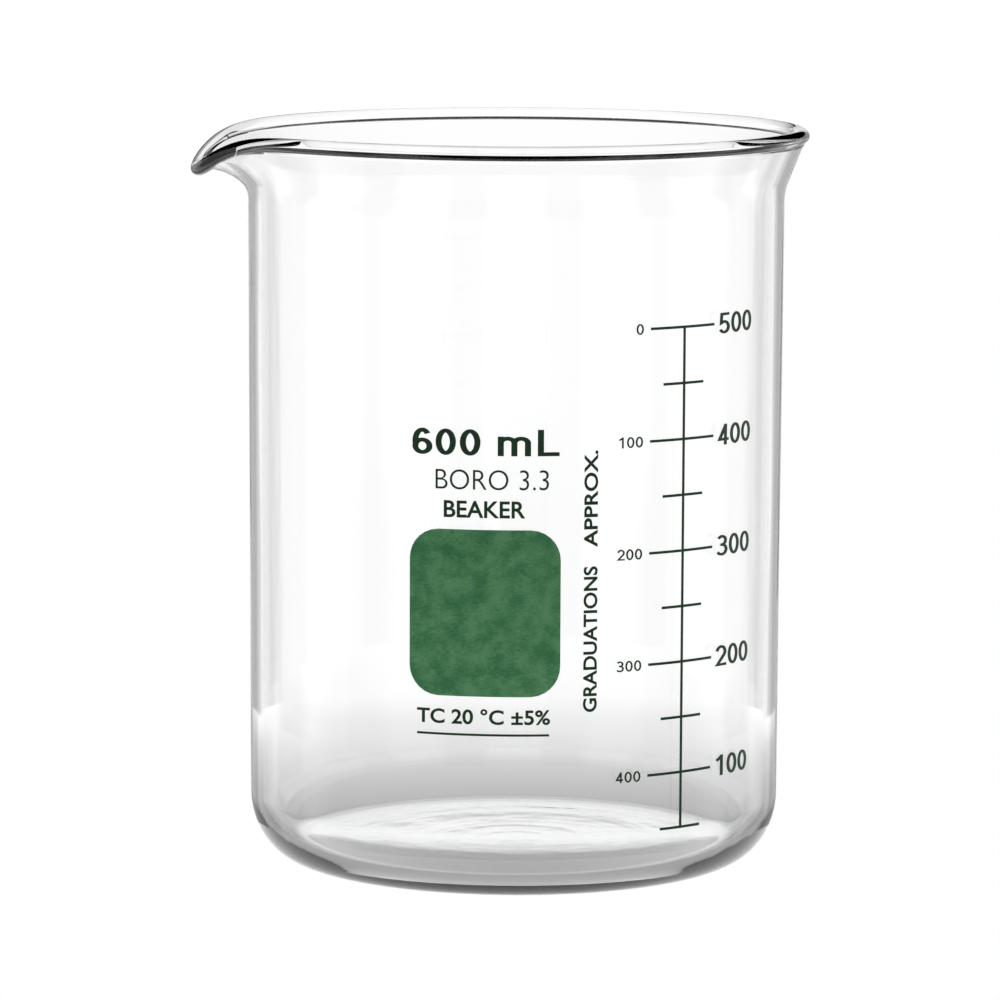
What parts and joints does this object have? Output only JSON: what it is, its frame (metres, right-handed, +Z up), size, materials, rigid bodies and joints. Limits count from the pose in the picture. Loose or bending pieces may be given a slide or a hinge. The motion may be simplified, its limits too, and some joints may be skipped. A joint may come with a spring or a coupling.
{
  "type": "beaker",
  "caption": "Low-form laboratory beaker in clear borosilicate glass, with a flared beaded rim, a pour spout and green enamel volume markings.",
  "frame": {"origin": "centre of the underside of the base, on the plane the beaker stands on", "axes": "+Z up along the beaker's axis, the pour spout towards -X, so the XZ plane is the glass body's mirror plane"},
  "size_m": [0.1047, 0.0988, 0.1248],
  "materials": {
    "clear_glass": "clear, fire polished",
    "green_enamel": "fired ceramic enamel, semi-gloss, slightly mottled"
  },
  "bodies": {
    "root": {"glass_vessel": "clear_glass", "graduation_scale": "green_enamel", "marking_patch": "green_enamel", "underline": "green_enamel", "title_digit_6": "green_enamel", "title_digit_0_first": "green_enamel", "title_digit_0_second": "green_enamel", "title_letter_m": "green_enamel", "title_letter_L": "green_enamel", "held_100_digit_1": "green_enamel", "held_100_digit_2": "green_enamel", "held_100_digit_3": "green_enamel", "held_200_digit_1": "green_enamel", "held_200_digit_2": "green_enamel", "held_200_digit_3": "green_enamel", "held_300_digit_1": "green_enamel", "held_300_digit_2": "green_enamel", "held_300_digit_3": "green_enamel", "held_400_digit_1": "green_enamel", "held_400_digit_2": "green_enamel", "held_400_digit_3": "green_enamel", "held_500_digit_1": "green_enamel", "held_500_digit_2": "green_enamel", "held_500_digit_3": "green_enamel", "to_fill_0_digit_1": "green_enamel", "to_fill_100_digit_1": "green_enamel", "to_fill_100_digit_2": "green_enamel", "to_fill_100_digit_3": "green_enamel", "to_fill_200_digit_1": "green_enamel", "to_fill_200_digit_2": "green_enamel", "to_fill_200_digit_3": "green_enamel", "to_fill_300_digit_1": "green_enamel", "to_fill_300_digit_2": "green_enamel", "to_fill_300_digit_3": "green_enamel", "to_fill_400_digit_1": "green_enamel", "to_fill_400_digit_2": "green_enamel", "to_fill_400_digit_3": "green_enamel"}
  },
  "joints": []
}
